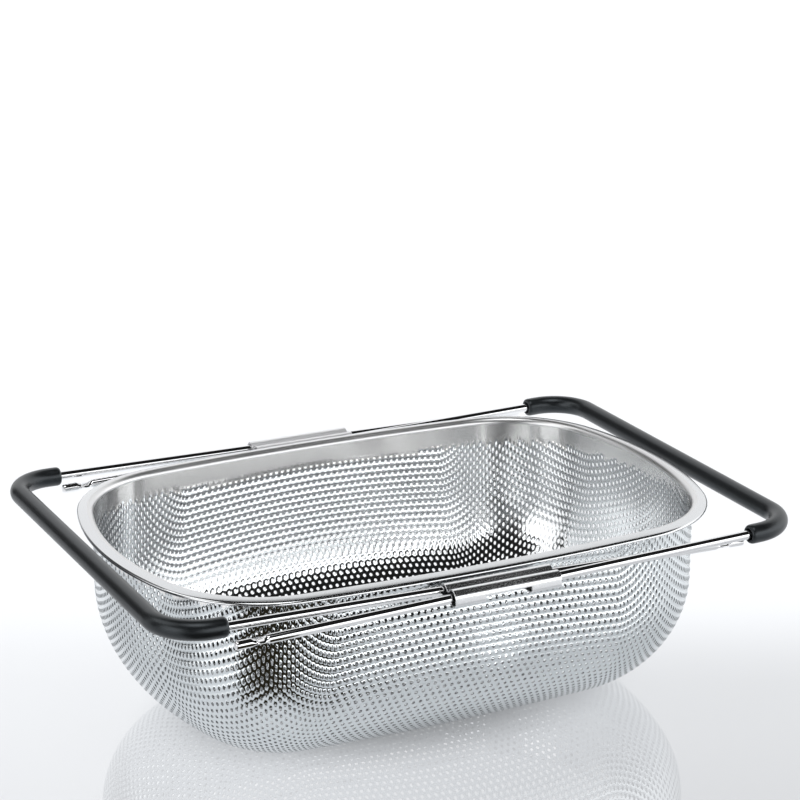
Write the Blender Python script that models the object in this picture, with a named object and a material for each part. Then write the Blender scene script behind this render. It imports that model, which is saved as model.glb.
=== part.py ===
# Extendable colander: a pressed steel basket with two sliding wire handles.
# Metres, +Z up. The origin is the centre of the basket's floor, on its underside.
# X runs along the basket's long sides, and Y runs from the front to the back.

import math

import bpy
from mathutils import Vector

# Basket, all outside sizes of the pressed sheet
rim_length = 0.350
rim_width = 0.2315
basket_height = 0.115
sheet_thickness = 0.0006
flange_width = 0.0085
lip_height = 0.0026
lip_bend_radius = 0.0012
wall_bend_radius = 0.0026
straight_wall_depth = 0.0456
floor_length = 0.182
floor_width = 0.084

# Radii of the four bowed sides and the four corners, at the rim and at the floor
rim_long_side_radius = 1.300
rim_short_side_radius = 0.208
rim_corner_radius = 0.070
floor_long_side_radius = 1.100
floor_short_side_radius = 0.130
floor_corner_radius = 0.014

# Rods and grips
rod_diameter = 0.005
grip_diameter = 0.0108
grip_bore_clearance = 0.0003
crossbar_reach = 0.1832
grip_leg_reach = 0.1525
tip_reach = 0.153
rod_corner_radius = 0.024
rod_depth_below_rim = 0.0065
rod_pitch = 0.009
rod_to_rim_gap = 0.0022
rod_tilt_degrees = 1.1
rod_splay_degrees = 0.5
grip_to_rim_stop_gap = 0.0006

# Guides that carry the rods at the middle of the long sides
guide_length = 0.063
guide_sheet = 0.0007
guide_clearance = 0.0013
guide_tab_length = 0.018
weld_gap = 0.0003
stop_gap = 0.0003

# Perforation: staggered rows of openings, fewer and larger than the real 2 mm holes
solid_band_height = 0.0162
hole_diameter = 0.0125
hole_spacing = 0.0305
hole_row_spacing = 0.0235
punch_length = 0.006

# Counts
hole_sides = 6
long_side_steps = 5
corner_steps = 6
short_side_steps = 3
bowl_steps = 7
bend_steps = 4
rod_sides = 12
grip_sides = 12
rod_bend_steps = 6
guide_bend_steps = 4
guide_hump_steps = 8

rod_radius = rod_diameter / 2
grip_radius = grip_diameter / 2
rim_height = basket_height
rod_height = rim_height - rod_depth_below_rim
splay = math.tan(math.radians(rod_splay_degrees))

# Distances of the two rods from the basket's middle plane, where they pass the guides
inner_rod_offset = rim_width / 2 + rod_to_rim_gap + rod_radius
outer_rod_offset = inner_rod_offset + rod_pitch


def new_material(name, colour, metallic, roughness):
    material = bpy.data.materials.new(name)
    material.use_nodes = True
    shader = material.node_tree.nodes["Principled BSDF"]
    shader.inputs["Base Color"].default_value = (*colour, 1)
    shader.inputs["Metallic"].default_value = metallic
    shader.inputs["Roughness"].default_value = roughness
    material.diffuse_color = (*colour, 1)
    return material


def new_object(name, vertices, faces, material, sharp_degrees=35):
    mesh = bpy.data.meshes.new(name)
    mesh.from_pydata(vertices, [], faces)
    mesh.shade_smooth()
    mesh.set_sharp_from_angle(angle=math.radians(sharp_degrees))
    mesh.materials.append(material)
    item = bpy.data.objects.new(name, mesh)
    bpy.context.collection.objects.link(item)
    return item


def arc(centre, radius, start_degrees, end_degrees, steps):
    # Points of a plane arc, both ends included
    points = []
    for step in range(steps + 1):
        angle = math.radians(start_degrees + (end_degrees - start_degrees) * step / steps)
        points.append((centre[0] + radius * math.cos(angle), centre[1] + radius * math.sin(angle)))
    return points


def unit(start, end):
    length = math.dist(start, end)
    return ((end[0] - start[0]) / length, (end[1] - start[1]) / length)


def fillet(before, corner, after, radius, steps):
    # Arc of the given radius that rounds one corner of a plane path
    incoming = unit(corner, before)
    outgoing = unit(corner, after)
    half_angle = math.acos(incoming[0] * outgoing[0] + incoming[1] * outgoing[1]) / 2
    bisector = unit((0, 0), (incoming[0] + outgoing[0], incoming[1] + outgoing[1]))
    reach = radius / math.sin(half_angle)
    centre = (corner[0] + bisector[0] * reach, corner[1] + bisector[1] * reach)
    foot = radius / math.tan(half_angle)
    first = (corner[0] + incoming[0] * foot, corner[1] + incoming[1] * foot)
    last = (corner[0] + outgoing[0] * foot, corner[1] + outgoing[1] * foot)
    start = math.atan2(first[1] - centre[1], first[0] - centre[0])
    turn = math.atan2(last[1] - centre[1], last[0] - centre[0]) - start
    turn = (turn + math.pi) % (2 * math.pi) - math.pi
    return arc(centre, radius, math.degrees(start), math.degrees(start + turn), steps)


def plan_outline(half_length, half_width, long_radius, short_radius, corner):
    # Closed plan outline: four bowed sides joined by tangent corner arcs, anticlockwise from +X
    long_centre = (0, half_width - long_radius)
    short_centre = (half_length - short_radius, 0)
    spacing = math.dist(long_centre, short_centre)
    long_reach = long_radius - corner
    short_reach = short_radius - corner
    along = (long_reach ** 2 - short_reach ** 2 + spacing ** 2) / (2 * spacing)
    across = math.sqrt(long_reach ** 2 - along ** 2)
    way = unit(long_centre, short_centre)
    centre = (long_centre[0] + way[0] * along + way[1] * across,
              long_centre[1] + way[1] * along - way[0] * across)
    short_angle = math.degrees(math.atan2(centre[1], centre[0] - short_centre[0]))
    long_angle = math.degrees(math.atan2(centre[1] - long_centre[1], centre[0]))
    quarter = arc(short_centre, short_radius, 0, short_angle, short_side_steps)
    quarter += arc(centre, corner, short_angle, long_angle, corner_steps)[1:]
    quarter += arc(long_centre, long_radius, long_angle, 90, long_side_steps)[1:]
    upper = quarter + [(-x, y) for x, y in reversed(quarter[:-1])]
    return upper + [(x, -y) for x, y in reversed(upper[1:-1])]


def inset_outline(inset):
    # Rim outline moved inwards by one distance all round
    return plan_outline(rim_length / 2 - inset, rim_width / 2 - inset, rim_long_side_radius - inset,
                        rim_short_side_radius - inset, rim_corner_radius - inset)


def bowl_outline(wall_inset, reach_share):
    # Outline between the floor (share 0) and the straight wall (share 1)
    floor_sizes = (floor_length / 2, floor_width / 2, floor_long_side_radius,
                   floor_short_side_radius, floor_corner_radius)
    wall_sizes = (rim_length / 2 - wall_inset, rim_width / 2 - wall_inset,
                  rim_long_side_radius - wall_inset, rim_short_side_radius - wall_inset,
                  rim_corner_radius - wall_inset)
    sizes = [low + (high - low) * reach_share for low, high in zip(floor_sizes, wall_sizes)]
    return plan_outline(*sizes)


def bowl_rings(wall_inset, floor_height):
    # Rings of a quarter-round bowl, from its floor edge up to the straight wall
    curve_top = rim_height - straight_wall_depth
    rings = []
    for step in range(bowl_steps + 1):
        angle = math.radians(90 * (1 - step / bowl_steps))
        height = curve_top - (curve_top - floor_height) * math.sin(angle)
        outline = bowl_outline(wall_inset, math.cos(angle))
        rings.append([(x, y, height) for x, y in outline])
    return rings


def rim_profile():
    # Inset and height of the rim's section, from the wall's outside, over the lip, to its inside
    inside_bend = wall_bend_radius - sheet_thickness
    bend_inset = flange_width + sheet_thickness - wall_bend_radius
    bend_height = rim_height - wall_bend_radius
    lip_height_low = rim_height - lip_height
    lip_centre = (lip_bend_radius, rim_height - lip_bend_radius)
    lip_inside_bend = lip_bend_radius - sheet_thickness
    section = arc((bend_inset, bend_height), inside_bend, 0, 90, bend_steps)
    section += arc(lip_centre, lip_inside_bend, 90, 180, bend_steps // 2)
    section += [(sheet_thickness, lip_height_low), (0, lip_height_low)]
    section += arc(lip_centre, lip_bend_radius, 180, 90, bend_steps)
    section += arc((bend_inset, bend_height), wall_bend_radius, 90, 0, bend_steps)
    return section


def skin_rings(rings, joined=False):
    # Skin over rings that each run anticlockwise about the way from one ring to the next.
    # The ends are capped, or joined to each other as on a bored tube.
    size = len(rings[0])
    count = len(rings)
    faces = []
    for ring in range(count if joined else count - 1):
        low = ring * size
        high = (ring + 1) % count * size
        for index in range(size):
            after = (index + 1) % size
            faces.append((low + index, low + after, high + after, high + index))
    if not joined:
        faces.append(list(reversed(range(size))))
        faces.append(list(range((count - 1) * size, count * size)))
    return [point for ring in rings for point in ring], faces


def wall_hole_rows():
    # Share of the bowl's reach, height and downward slope in degrees of each row of wall holes
    rows = []
    depth = solid_band_height + hole_diameter / 2
    while depth < straight_wall_depth:
        rows.append((1, rim_height - depth, 0))
        depth += hole_row_spacing
    bowl_radius = rim_height - straight_wall_depth
    slope = math.degrees((depth - straight_wall_depth) / bowl_radius)
    while slope < 90:
        angle = math.radians(slope)
        rows.append((math.cos(angle), bowl_radius * (1 - math.sin(angle)), slope))
        slope += math.degrees(hole_row_spacing / bowl_radius)
    return rows


def spread_round(outline, count, offset_share):
    # Evenly spaced points on a closed outline, each with its outward direction in plan
    edges = list(zip(outline, outline[1:] + outline[:1]))
    lengths = [math.dist(start, end) for start, end in edges]
    step = sum(lengths) / count
    spots = []
    passed = 0
    target = step * offset_share
    for (start, end), length in zip(edges, lengths):
        while target < passed + length and len(spots) < count:
            way = unit(start, end)
            reach = target - passed
            spots.append((start[0] + way[0] * reach, start[1] + way[1] * reach, way[1], -way[0]))
            target += step
        passed += length
    return spots


def hole_places():
    # Centre and outward direction of every hole in the wall, the bowl and the floor
    places = []
    middle = flange_width + sheet_thickness / 2
    for row, (share, height, slope) in enumerate(wall_hole_rows()):
        outline = bowl_outline(middle, share)
        perimeter = sum(math.dist(a, b) for a, b in zip(outline, outline[1:] + outline[:1]))
        level = math.cos(math.radians(slope))
        down = math.sin(math.radians(slope))
        for x, y, out_x, out_y in spread_round(outline, round(perimeter / hole_spacing), row % 2 / 2):
            places.append(((x, y, height), (out_x * level, out_y * level, -down)))
    rows = int((floor_width - hole_diameter) / 2 / hole_row_spacing)
    for row in range(-rows, rows + 1):
        shift = hole_spacing / 2 if row % 2 == 0 else 0
        side_holes = int(((floor_length - hole_diameter) / 2 - shift) / hole_spacing)
        for column in range(-side_holes - (shift > 0), side_holes + 1):
            centre = (column * hole_spacing + shift, row * hole_row_spacing, sheet_thickness / 2)
            places.append((centre, (0, 0, -1)))
    return places


def make_punch():
    # All the hole cutters in one mesh: a short prism across the sheet at each hole
    vertices = []
    faces = []
    for centre, direction in hole_places():
        turn = Vector(direction).to_track_quat("Z", "Y")
        rings = []
        for end in (-punch_length / 2, punch_length / 2):
            corners = [(hole_diameter / 2 * math.cos(2 * math.pi * side / hole_sides),
                        hole_diameter / 2 * math.sin(2 * math.pi * side / hole_sides), end)
                       for side in range(hole_sides)]
            rings.append([turn @ Vector(corner) + Vector(centre) for corner in corners])
        prism, skin = skin_rings(rings)
        faces += [[index + len(vertices) for index in face] for face in skin]
        vertices += prism
    return vertices, faces


def cut(item, name, shape, material):
    # Takes a hidden cutter's shape out of an item
    cutter = new_object(name, *shape, material)
    cutter.hide_render = True
    cutter.display_type = "WIRE"
    modifier = item.modifiers.new(name, "BOOLEAN")
    modifier.operation = "DIFFERENCE"
    modifier.object = cutter


def make_basket(material):
    rings = bowl_rings(flange_width, 0)
    for inset, height in rim_profile():
        rings.append([(x, y, height) for x, y in inset_outline(inset)])
    rings += reversed(bowl_rings(flange_width + sheet_thickness, sheet_thickness))
    basket = new_object("basket", *skin_rings(rings), material)
    cut(basket, "hole_punch", make_punch(), material)


# Ears pressed out of the rod near each tip, measured along the rod from the tip
ear_distance = 0.0135
ear_length = 0.003
ear_taper = 0.003
ear_half_width = 0.0042
ear_half_thickness = 0.001
tip_round = 0.0016
tip_dome_share = 0.45


def handle_path():
    # Corners of a handle's U, in its own plane: +X towards the grip, the outer leg at -Y
    outer_tip = (-tip_reach, -(outer_rod_offset + tip_reach * splay))
    outer_corner = (crossbar_reach, -(outer_rod_offset - crossbar_reach * splay))
    inner_corner = (crossbar_reach, inner_rod_offset - crossbar_reach * splay)
    inner_tip = (-tip_reach, inner_rod_offset + tip_reach * splay)
    return outer_tip, outer_corner, inner_corner, inner_tip


def along(start, end, distance):
    way = unit(start, end)
    return (start[0] + way[0] * distance, start[1] + way[1] * distance)


def bend_points():
    outer_tip, outer_corner, inner_corner, inner_tip = handle_path()
    points = fillet(outer_tip, outer_corner, inner_corner, rod_corner_radius, rod_bend_steps)
    points += fillet(outer_corner, inner_corner, inner_tip, rod_corner_radius, rod_bend_steps)
    return points


def tip_stations():
    # Distance from the tip, half width and half thickness of the rod there
    ear_start = ear_distance - ear_length / 2
    ear_end = ear_distance + ear_length / 2
    middle_width = (rod_radius + ear_half_width) / 2
    middle_thickness = (rod_radius + ear_half_thickness) / 2
    return [(0, rod_radius * tip_dome_share, rod_radius * tip_dome_share),
            (tip_round / 4, rod_radius - tip_round / 2, rod_radius - tip_round / 2),
            (tip_round, rod_radius, rod_radius),
            (ear_start - ear_taper, rod_radius, rod_radius),
            (ear_start - ear_taper / 2, middle_width, middle_thickness),
            (ear_start, ear_half_width, ear_half_thickness),
            (ear_end, ear_half_width, ear_half_thickness),
            (ear_end + ear_taper / 2, middle_width, middle_thickness),
            (ear_end + ear_taper, rod_radius, rod_radius)]


def section_ring(points, index, half_width, half_thickness, sides):
    # Elliptical ring square to a plane path at one of its points
    before = points[max(index - 1, 0)]
    here = points[index]
    after = points[min(index + 1, len(points) - 1)]
    way = unit(before, after)
    if index > 0 and index < len(points) - 1:
        arriving = unit(before, here)
        leaving = unit(here, after)
        way = unit((0, 0), (arriving[0] + leaving[0], arriving[1] + leaving[1]))
    ring = []
    for side in range(sides):
        angle = 2 * math.pi * side / sides
        across = half_width * math.cos(angle)
        ring.append((here[0] - way[1] * across, here[1] + way[0] * across,
                     half_thickness * math.sin(angle)))
    return ring


def make_wire(name, material):
    outer_tip, outer_corner, inner_corner, inner_tip = handle_path()
    stations = tip_stations()
    points = [along(outer_tip, outer_corner, distance) for distance, _, _ in stations]
    sizes = [(width, thickness) for _, width, thickness in stations]
    bends = bend_points()
    points += bends
    sizes += [(rod_radius, rod_radius)] * len(bends)
    for distance, width, thickness in reversed(stations):
        points.append(along(inner_tip, inner_corner, distance))
        sizes.append((width, thickness))
    rings = [section_ring(points, index, width, thickness, rod_sides)
             for index, (width, thickness) in enumerate(sizes)]
    return new_object(name, *skin_rings(rings), material)


# Rounded end of a grip and the small recess round the rod there
grip_end_round = 0.0022
grip_end_wall = 0.0007
grip_recess_depth = 0.0016
grip_recess_radius = 0.0036


def grip_end_stations():
    # Distance from the grip's end and outer radius there
    mouth = grip_recess_radius + grip_end_wall
    stations = []
    for step in range(bend_steps + 1):
        angle = math.radians(90 * step / bend_steps)
        distance = grip_end_round * (1 - math.cos(angle))
        stations.append((distance, mouth + (grip_radius - mouth) * math.sin(angle)))
    return stations


def make_grip(name, material):
    outer_tip, outer_corner, inner_corner, inner_tip = handle_path()
    bore = rod_radius + grip_bore_clearance
    start = (tip_reach + grip_leg_reach) / math.cos(math.radians(rod_splay_degrees))
    ends = grip_end_stations()
    bends = bend_points()
    skin = [(along(outer_tip, outer_corner, start + distance), radius) for distance, radius in ends]
    skin += [(point, grip_radius) for point in bends]
    skin += [(along(inner_tip, inner_corner, start + distance), radius)
             for distance, radius in reversed(ends)]
    recess = [(0, grip_recess_radius), (grip_recess_depth, bore)]
    hole = [(along(outer_tip, outer_corner, start + distance), radius) for distance, radius in recess]
    hole += [(point, bore) for point in bends]
    hole += [(along(inner_tip, inner_corner, start + distance), radius)
             for distance, radius in reversed(recess)]
    skin_set, hole_set = [[section_ring([point for point, _ in layer], index, radius, radius, grip_sides)
                           for index, (_, radius) in enumerate(layer)] for layer in (skin, hole)]
    return new_object(name, *skin_rings(skin_set + hole_set[::-1], joined=True), material)


# Stroke of a handle: out until its ears reach the guide, in until its grip nears the rim
stroke_out = tip_reach - ear_distance - ear_length / 2 - ear_taper - guide_length / 2 - stop_gap
stroke_in = crossbar_reach - grip_radius - rim_length / 2 - grip_to_rim_stop_gap
stroke_drift = (stroke_out - stroke_in) / 2 * splay

# Bends of the guide's folded sheet
guide_bend_radius = 0.0012
guide_fold_radius = 0.0021
valley_radius = 0.0009
hump_end_degrees = 45
weld_flange_height = 0.0056
tab_end_gap = 0.0005


def guide_centreline():
    # Middle line of the folded sheet, as distance from the basket's middle plane and height
    radius = rod_radius + guide_clearance + guide_sheet / 2
    inner = inner_rod_offset + stroke_drift
    outer = inner + rod_pitch
    weld = rim_width / 2 - flange_width + weld_gap + guide_sheet / 2
    inner_leg = inner - radius
    outer_leg = outer + radius
    low = rod_height - radius
    weld_foot = (weld, low - weld_flange_height)
    weld_corner = (weld, low)
    leg_corner = (inner_leg, low)
    leg_top = (inner_leg, rod_height)
    line = [weld_foot]
    line += fillet(weld_foot, weld_corner, leg_corner, guide_bend_radius, guide_bend_steps)
    line += fillet(weld_corner, leg_corner, leg_top, guide_bend_radius, guide_bend_steps)
    line += arc((inner, rod_height), radius, 180, hump_end_degrees, guide_hump_steps)
    end_angle = math.radians(hump_end_degrees)
    hump_end = line[-1]
    run = rod_pitch / 2 - radius * math.cos(end_angle)
    valley = (inner + rod_pitch / 2, hump_end[1] - run / math.tan(end_angle))
    next_hump = arc((outer, rod_height), radius, 180 - hump_end_degrees, 0, guide_hump_steps)
    line += fillet(hump_end, valley, next_hump[0], valley_radius, guide_bend_steps)
    line += next_hump
    fold_corner = (outer_leg, low)
    tab_end = (inner_leg + guide_sheet / 2 + tab_end_gap, low)
    line += fillet(next_hump[-1], fold_corner, tab_end, guide_fold_radius, guide_bend_steps)
    line.append(tab_end)
    return line


def thicken(line, thickness):
    # Closed outline of a sheet's edge: its middle line offset to both sides
    left = []
    right = []
    for index, here in enumerate(line):
        before = line[max(index - 1, 0)]
        after = line[min(index + 1, len(line) - 1)]
        arriving = unit(before, here) if index > 0 else unit(here, after)
        leaving = unit(here, after) if index < len(line) - 1 else arriving
        way = unit((0, 0), (arriving[0] + leaving[0], arriving[1] + leaving[1]))
        stretch = 1 / (way[0] * arriving[0] + way[1] * arriving[1])
        shift = thickness / 2 * stretch
        left.append((here[0] - way[1] * shift, here[1] + way[0] * shift))
        right.append((here[0] + way[1] * shift, here[1] - way[0] * shift))
    return left + right[::-1]


def extrude_section(section, side, half_length):
    # Prism along X; side is -1 for the front and 1 for the back
    outline = [(side * offset, height) for offset, height in section]
    turns = zip(outline, outline[1:] + outline[:1])
    if sum(y0 * z1 - y1 * z0 for (y0, z0), (y1, z1) in turns) < 0:
        outline.reverse()
    return skin_rings([[(end, y, z) for y, z in outline] for end in (-half_length, half_length)])


def make_guide(name, side, material):
    section = thicken(guide_centreline(), guide_sheet)
    guide = new_object(name, *extrude_section(section, side, guide_length / 2), material)
    # The fold under the rods is cut away between the two end tabs
    radius = rod_radius + guide_clearance + guide_sheet
    outer_leg = inner_rod_offset + stroke_drift + rod_pitch + radius
    inner_edge = inner_rod_offset + stroke_drift - radius + guide_sheet + tab_end_gap / 2
    fold_top = rod_height - radius + guide_sheet / 2 + guide_fold_radius
    cut_box = [(inner_edge, rod_height - 2 * radius), (outer_leg + radius, rod_height - 2 * radius),
               (outer_leg + radius, fold_top), (inner_edge, fold_top)]
    cut_prism = extrude_section(cut_box, side, guide_length / 2 - guide_tab_length)
    cut(guide, name + "_window", cut_prism, material)


def make_handle(side_name, turn_degrees, wire_material, grip_material):
    # The handle's frame lies on its slide axis, with +X towards the grip
    frame = bpy.data.objects.new(side_name + "_handle_frame", None)
    bpy.context.collection.objects.link(frame)
    frame.location = (0, 0, rod_height)
    frame.rotation_mode = "XYZ"
    frame.rotation_euler = (0, -math.radians(rod_tilt_degrees), math.radians(turn_degrees))
    wire = make_wire(side_name + "_handle_wire", wire_material)
    grip = make_grip(side_name + "_grip", grip_material)
    wire.parent = frame
    grip.parent = frame


def main():
    for item in list(bpy.data.objects):
        bpy.data.objects.remove(item)
    steel = new_material("stainless_sheet", (0.62, 0.63, 0.65), 1, 0.22)
    guide_steel = new_material("guide_sheet", (0.66, 0.67, 0.69), 1, 0.25)
    chrome = new_material("polished_rod", (0.72, 0.72, 0.74), 1, 0.08)
    rubber = new_material("grip_rubber", (0.03, 0.032, 0.036), 0, 0.5)
    make_basket(steel)
    make_guide("front_sleeve", -1, guide_steel)
    make_guide("back_sleeve", 1, guide_steel)
    make_handle("right", 0, chrome, rubber)
    make_handle("left", 180, chrome, rubber)
    print("stroke out", round(stroke_out, 5), "stroke in", round(stroke_in, 5))


main()
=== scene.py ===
import math

import bpy
import numpy as np
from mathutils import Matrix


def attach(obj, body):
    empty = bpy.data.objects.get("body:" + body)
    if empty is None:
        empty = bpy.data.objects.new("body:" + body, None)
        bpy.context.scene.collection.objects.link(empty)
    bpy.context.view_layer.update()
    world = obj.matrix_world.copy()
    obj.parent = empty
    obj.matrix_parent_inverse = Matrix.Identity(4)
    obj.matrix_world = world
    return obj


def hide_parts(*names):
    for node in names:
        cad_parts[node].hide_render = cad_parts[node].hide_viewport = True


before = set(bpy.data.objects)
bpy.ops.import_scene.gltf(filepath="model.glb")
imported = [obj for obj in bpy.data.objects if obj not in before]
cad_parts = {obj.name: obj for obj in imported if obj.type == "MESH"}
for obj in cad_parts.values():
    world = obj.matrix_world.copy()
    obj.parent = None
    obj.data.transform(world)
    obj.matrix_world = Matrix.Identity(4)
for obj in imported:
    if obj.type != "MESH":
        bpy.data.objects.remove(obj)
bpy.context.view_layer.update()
print("frame loaded:", ", ".join(sorted(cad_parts)))

# Extendable colander. Metres, with the basket's floor at z = 0, its long sides along X
# and its front at -Y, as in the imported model.

basket = {
    # Half length, half width, then the radii of the long side, the short side and the corner
    "rimSize": (0.350 / 2, 0.2315 / 2, 1.300, 0.208, 0.070),
    "floorSize": (0.182 / 2, 0.084 / 2, 1.100, 0.130, 0.014),
    "height": 0.115,
    "sheet": 0.0006,
    "flange": 0.0085,
    "lip": 0.0026,
    "lipBend": 0.0012,
    "wallBend": 0.0034,
    "flangeSlope": (9, 15),      # fall of the flange outwards, in degrees, at the bend and at the lip
    "straightWall": 0.0456,
    "roundSteps": 110,           # steps in a quarter of the rim
    "wallPoints": 3,
    "bendSteps": 12,
    "lipSteps": 8,
    "joinGap": 0.0003,           # left between a straight stretch of the rim's section and its arc
}

pattern = {
    "pitch": 0.0038,             # hole spacing along a row of the flat blank
    "hole": 0.00194,
    "thickness": 0.00042,        # the sheet is drawn thinner where it is punched
    "rimJoin": 0.0046,           # depth under the rim where the sheet meets the piece with the flange
    "firstHole": 0.0106,         # least depth of a hole centre at the middle of the short sides
    "firstHoleSlope": 0.053,     # and how much deeper it lies for each metre towards the back
    "sideStretch": 1.0,          # stretch of the sheet up the middle of a side, per metre
    "cornerStretch": 2.8,        # and up a corner
    "evenShare": 0.5,            # how far the sheet spreads evenly round the basket
    "dimpleInside": 0.00006,     # how far the sheet leans round each punched hole
    "dimpleOutside": -0.00009,
    "leanInside": 0.12,
    "leanOutside": -0.28,
    "ridge": 0.00023,            # outward ridge along each row of holes where the sheet has been bent
    "ridgeInside": 0.35,         # how much more the ridges show in the inner skin's normals
    "ridgeStart": (0.072, 0.096),    # distance from the floor where the ridges start and are full
    "ridgeEnd": (0.0030, 0.002),     # how far above the first holes they end, and how fast
    "burrRise": 0.004,           # height above the floor at which the burrs are full
    "blankReach": (0.250, 0.200),
    "keepBeyond": 0.004,         # cells this far past the rim join are still worked out
    "floorPatch": (0.112, 0.068),
}

rod = {
    "radius": 0.0025,
    "crossbar": 0.1832,
    "tip": 0.153,
    "corner": 0.024,
    "height": 0.115 - 0.0065,
    "pitch": 0.009,
    "innerOffset": 0.2315 / 2 + 0.0022 + 0.0025,
    "tilt": 1.1,
    "splay": 0.5,
    "sides": 36,
    "bendSteps": 26,
}


def unitOf(vectors):
    return vectors / np.linalg.norm(vectors, axis=-1, keepdims=True)


def linkMesh(name, points, faceSets, corners=None, sharp=None, finishes=None):
    # Mesh from one array of points and arrays of faces with the same number of sides in each
    flat = np.concatenate([faces.ravel() for faces in faceSets])
    sides = np.concatenate([np.full(len(faces), faces.shape[1]) for faces in faceSets])
    mesh = bpy.data.meshes.new(name)
    mesh.vertices.add(len(points))
    mesh.vertices.foreach_set("co", np.ascontiguousarray(points, dtype=np.float32).ravel())
    mesh.loops.add(len(flat))
    mesh.loops.foreach_set("vertex_index", flat.astype(np.int32))
    mesh.polygons.add(len(sides))
    mesh.polygons.foreach_set("loop_start", np.concatenate(([0], np.cumsum(sides)[:-1])).astype(np.int32))
    if finishes is not None:
        mesh.polygons.foreach_set("material_index", finishes.astype(np.int32))
    mesh.update(calc_edges=True)
    mesh.shade_smooth()
    if sharp is not None:
        mesh.set_sharp_from_angle(angle=math.radians(sharp))
    if corners is not None:
        mesh.normals_split_custom_set(corners)
    piece = bpy.data.objects.new(name, mesh)
    bpy.context.scene.collection.objects.link(piece)
    return piece


def planArcs(sizes):
    # Quarter of a plan outline: three tangent arcs, short side, corner and long side, each with
    # its centre, radius and share of the quarter's length. The corner centre is where the two
    # side arcs, moved in by the corner radius, cross.
    length, width, longRadius, shortRadius, corner = sizes
    longY = width - longRadius
    shortX = length - shortRadius
    gap = np.hypot(shortX, longY)
    longReach = longRadius - corner
    shortReach = shortRadius - corner
    along = (longReach ** 2 - shortReach ** 2 + gap ** 2) / (2 * gap)
    across = np.sqrt(longReach ** 2 - along ** 2)
    cornerX = shortX / gap * along - longY / gap * across
    cornerY = longY - longY / gap * along - shortX / gap * across
    shortAngle = np.arctan2(cornerY, cornerX - shortX)
    longAngle = np.arctan2(cornerY - longY, cornerX)
    return shortX, longY, cornerX, cornerY, shortAngle, longAngle


def arcLengths(sizes, extra=0):
    # Radius times angle of the three arcs, each moved out by the extra distance
    shortAngle, longAngle = planArcs(sizes)[4:]
    return ((sizes[3] + extra) * shortAngle, (sizes[4] + extra) * (longAngle - shortAngle),
            (sizes[2] + extra) * (math.pi / 2 - longAngle))


def outlinePoint(sizes, share):
    # Point of a quarter outline at a share of its length, and the angle of its outward normal
    shortX, longY, cornerX, cornerY, shortAngle, longAngle = planArcs(sizes)
    shortLength, cornerLength, longLength = arcLengths(sizes)
    run = share * (shortLength + cornerLength + longLength)
    onShort = run <= shortLength
    onCorner = ~onShort & (run <= shortLength + cornerLength)
    angle = np.where(onShort, run / sizes[3],
                     np.where(onCorner, shortAngle + (run - shortLength) / sizes[4],
                              longAngle + (run - shortLength - cornerLength) / sizes[2]))
    radius = np.where(onShort, sizes[3], np.where(onCorner, sizes[4], sizes[2]))
    centreX = np.where(onShort, shortX, np.where(onCorner, cornerX, 0))
    centreY = np.where(onShort, 0, np.where(onCorner, cornerY, longY))
    return centreX + radius * np.cos(angle), centreY + radius * np.sin(angle), angle


def insetSizes(inset):
    # The rim's outline moved inwards: every arc keeps its centre and loses the inset
    length, width, *radii = basket["rimSize"]
    return (length - inset, width - inset, *[radius - inset for radius in radii])


middleInset = basket["flange"] + basket["sheet"] / 2
curveTop = basket["height"] - basket["straightWall"]


def bowlPoint(share, swing):
    # Middle of the sheet on the quarter-round bowl: swing runs from 0 at the floor to a right
    # angle at the straight wall, the plan grows with its sine and the height with 1 - cosine
    grow = np.sin(swing)
    sizes = [low + (high - low) * grow for low, high in zip(basket["floorSize"], insetSizes(middleInset))]
    x, y, angle = outlinePoint(sizes, share)
    low = basket["sheet"] / 2
    return x, y, curveTop - (curveTop - low) * np.cos(swing), angle


def bowlTables(shareSteps=60, swingSteps=180, depthSteps=240):
    # Length of the bowl's curve at each share of the quarter, and swing at each part of that length
    shares = np.linspace(0, 1, shareSteps + 1)
    swings = np.linspace(0, math.pi / 2, swingSteps + 1)
    x, y, z, _ = bowlPoint(shares[:, None] + 0 * swings[None, :], swings[None, :] + 0 * shares[:, None])
    steps = np.sqrt(np.diff(x, axis=1) ** 2 + np.diff(y, axis=1) ** 2 + np.diff(z, axis=1) ** 2)
    lengths = np.concatenate([np.zeros((len(shares), 1)), np.cumsum(steps, axis=1)], axis=1)
    parts = np.linspace(0, 1, depthSteps + 1)
    swingAt = np.array([np.interp(parts * row[-1], row, swings) for row in lengths])
    return lengths[:, -1], swingAt


bowlLength, swingTable = bowlTables()


def lookUp(table, *places):
    # Values of a table between its entries, with each place running from 0 to 1
    if len(places) == 1:
        return np.interp(places[0], np.linspace(0, 1, len(table)), table)
    rows, columns = [np.clip(place, 0, 1) * (count - 1) for place, count in zip(places, table.shape)]
    row = np.minimum(rows.astype(int), table.shape[0] - 2)
    column = np.minimum(columns.astype(int), table.shape[1] - 2)
    down = rows - row
    over = columns - column
    upper = table[row, column] * (1 - over) + table[row, column + 1] * over
    lower = table[row + 1, column] * (1 - over) + table[row + 1, column + 1] * over
    return upper * (1 - down) + lower * down


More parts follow.
